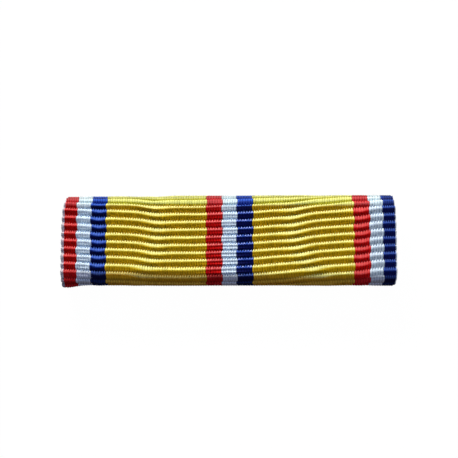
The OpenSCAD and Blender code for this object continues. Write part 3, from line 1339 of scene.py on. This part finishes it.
@dataclass
class Ribbon:
    """The striped ribbon with both of its selvedges."""

    form: RibbonForm

    # The ribbon from left to right: name of the node, dye or None for a selvedge, share of the width
    STRIPES = (
        ("selvedge_left", None, 0.0105),
        ("red_left", Dye.RED, 0.0366),
        ("white_left", Dye.WHITE, 0.0427),
        ("blue_left", Dye.BLUE, 0.0447),
        ("yellow_left", Dye.YELLOW, 0.2989),
        ("red_middle", Dye.RED, 0.0469),
        ("white_middle", Dye.WHITE, 0.0442),
        ("blue_middle", Dye.BLUE, 0.0474),
        ("yellow_right", Dye.YELLOW, 0.3014),
        ("red_right", Dye.RED, 0.0469),
        ("white_right", Dye.WHITE, 0.0402),
        ("blue_right", Dye.BLUE, 0.035),
        ("selvedge_right", None, 0.0046),
    )
    # The loops at the left edge are greyer than those at the right edge
    LOOPS = {
        Side.LEFT: LoopFinish("selvedge_weft", (0.9, 0.8, 0.86), (0.78, 0.67, 0.74), (0.48, 0.41, 0.47)),
        Side.RIGHT: LoopFinish("selvedge_weft", (0.85, 0.9, 1.0), (0.85, 0.9, 1.0), (0.7, 0.76, 0.9)),
    }

    def stripes(self) -> Sequence[WarpStripe]:
        """Lays out the warp stripes across the ribbon.

        Returns:
            The stripes from left to right, not yet woven.
        """
        weave = Weave(self.form)
        total = sum(share for _, _, share in self.STRIPES)
        made, start = [], -1.0
        for name, dye, share in self.STRIPES:
            end = start + 2.0 * share / total
            if dye is not None:
                made.append(WarpStripe(name, dye, start, end, weave))
            start = end
        made[0].outer, made[-1].outer = Side.LEFT, Side.RIGHT
        return made

    def build(self) -> Sequence[bpy.types.Object]:
        """Weaves the whole ribbon.

        Returns:
            Its pieces from left to right.
        """
        stripes = self.stripes()
        ends = ((Side.LEFT, stripes[0]), (Side.RIGHT, stripes[-1]))
        edges = [Selvedge(side, stripe, self.LOOPS[side]) for side, stripe in ends]
        makers = [edges[0], *stripes, edges[1]]
        pieces = [maker.build() for maker in makers]
        self._declare_cloth(makers)
        return pieces

    def _declare_cloth(
        self, makers: Sequence[Union[Selvedge, WarpStripe]]
    ) -> None:
        """Args:
            makers: What made the pieces, from left to right.
        """
        form = self.form
        middle_r = form.plate_r + form.wrap_gap + (form.cloth_t + form.rib_h) / 2
        length = form.web + 2 * math.pi * middle_r + 2 * (form.lip_l - form.end_setback)
        names = [maker.name for maker in makers]
        half = names.index("red_middle") + 1
        for name, group in (("yellow_left", range(half)), ("yellow_right", range(half, len(names)))):
            at = names.index(name)
            width = (makers[at].end - makers[at].start) * form.width / 2
            width * MM
            length * MM


@dataclass(frozen=True)
class Softbox:
    """A rectangular light that is turned to the bar, beyond its top edge or swung clockwise from there."""

    name: str
    elevation_deg: float
    distance: float
    size: Tuple[float, float]
    brightness: float
    colour: Colour
    swing_deg: float = 0.0
    glossy: bool = True

    def hang(self) -> None:
        """Hangs the light, with the power that gives its brightness on a surface turned to it."""
        lamp = bpy.data.lights.new(self.name, "AREA")
        lamp.shape = "RECTANGLE"
        lamp.size, lamp.size_y = (side * MM for side in self.size)
        lamp.energy = self.brightness * (math.pi * self.distance * MM) ** 2
        lamp.color = self.colour
        stand = bpy.data.objects.new(self.name, lamp)
        elevation, swing = math.radians(self.elevation_deg), math.radians(self.swing_deg)
        flat = math.cos(elevation)
        toward = Vector((flat * math.sin(swing), flat * math.cos(swing), math.sin(elevation)))
        stand.location = toward * self.distance * MM
        stand.rotation_euler = toward.to_track_quat("Z", "Y").to_euler()
        stand.visible_glossy = self.glossy
        bpy.context.scene.collection.objects.link(stand)


@dataclass(frozen=True)
class Studio:
    """Camera, floor and lights: key and fill beyond the bar's top edge, a faint card beyond the other one."""

    # Width of the picture at the height of the ribs' crests, and distance of its middle from the bar's
    picture_w: float = 47.42
    picture_across: float = 0.025
    picture_up: float = 1.197
    face_z: float = 3.3
    lens: float = 150.0
    sensor: float = 36.0
    # Nearest and farthest distance that the camera sees, in metres
    clip: Span = (0.005, 10.0)
    key: Softbox = Softbox("key_light", 25.0, 280.0, (130.0, 45.0), 1.47, (1.0, 0.95, 0.86), -14.0)
    fill: Softbox = Softbox("fill_light", 62.0, 320.0, (260.0, 120.0), 0.3, (0.49, 0.66, 1.0), glossy=False)
    card: Softbox = Softbox("lower_card", 6.0, 120.0, (110.0, 60.0), 0.17, (0.85, 0.85, 1.0), 150.0, False)
    room_colour: Colour = (0.8, 0.88, 1.0)
    room_strength: float = 0.04
    floor_glow: float = 0.99
    floor_reach: float = 1500.0
    floor_colour: Colour = (0.02, 0.02, 0.02)

    # Points round the floor, its profile as shares of reach and rise, and its rise as a share of its reach
    FLOOR_STEPS = 64
    FLOOR_PROFILE = ((0.5, 0.0), (0.7, 0.04), (0.85, 0.16), (0.95, 0.4), (1.0, 0.75), (1.0, 2.0))
    FLOOR_RISE = 0.6

    def build(self) -> None:
        """Sets up the whole studio."""
        self._set_camera()
        for box in (self.key, self.fill, self.card):
            box.hang()
        self._light_room()
        self._lay_floor()
        bpy.context.scene.view_settings.view_transform = "Standard"

    def _set_camera(self) -> None:
        """Puts the camera straight above the bar, where the picture's width fits the sensor."""
        camera = bpy.data.cameras.new("portrait_camera")
        camera.lens = self.lens
        camera.sensor_width = self.sensor
        camera.clip_start, camera.clip_end = self.clip
        stand = bpy.data.objects.new("portrait_camera", camera)
        away = self.picture_w * self.lens / self.sensor
        stand.location = Vector((self.picture_across, self.picture_up, self.face_z + away)) * MM
        bpy.context.scene.collection.objects.link(stand)
        bpy.context.scene.camera = stand

    def _light_room(self) -> None:
        """Gives the room a faint cool light of its own."""
        world = bpy.data.worlds.new("studio_room")
        world.use_nodes = True
        background = world.node_tree.nodes["Background"]
        background.inputs["Color"].default_value = (*self.room_colour, 1.0)
        background.inputs["Strength"].default_value = self.room_strength
        bpy.context.scene.world = world

    def _lay_floor(self) -> None:
        """Lays a pale paper floor that curves up into a backdrop on every side."""
        reach = self.floor_reach
        rise = reach * self.FLOOR_RISE
        around = np.linspace(0.0, 2 * math.pi, self.FLOOR_STEPS + 1)[:-1]
        points = [
            (share * reach * math.cos(a), share * reach * math.sin(a), lift * rise)
            for share, lift in self.FLOOR_PROFILE
            for a in around
        ]
        count = self.FLOOR_STEPS
        faces = [tuple(range(count))]
        for ring in range(len(self.FLOOR_PROFILE) - 1):
            for i in range(count):
                a, b = ring * count + i, ring * count + (i + 1) % count
                faces.append((a, b, b + count, a + count))
        mesh = bpy.data.meshes.new("paper_floor")
        mesh.from_pydata([Vector(point) * MM for point in points], [], faces)
        paper = {
            "Base Color": self.floor_colour,
            "Roughness": 1.0,
            "Specular IOR Level": 0.0,
            "Emission Color": (1.0, 1.0, 1.0),
            "Emission Strength": self.floor_glow,
        }
        mesh.materials.append(ShaderBench("white_paper").surface(paper))
        floor = bpy.data.objects.new("paper_floor", mesh)
        floor.visible_diffuse = floor.visible_glossy = floor.visible_shadow = False
        bpy.context.scene.collection.objects.link(floor)


def main() -> None:
    """Builds the pieces in order and reports each one."""
    logging.basicConfig(level=logging.INFO, format="%(name)s: %(message)s")
    form = RibbonForm.round_plate("channel_plate", plate_setback=0.4)
    pieces = [ChannelPlate().build(), *Ribbon(form).build()]
    for piece in pieces:
        LOG.info("%s has %d triangles", piece.name, len(piece.data.polygons))
    Studio().build()


if __name__ == "__main__":
    main()
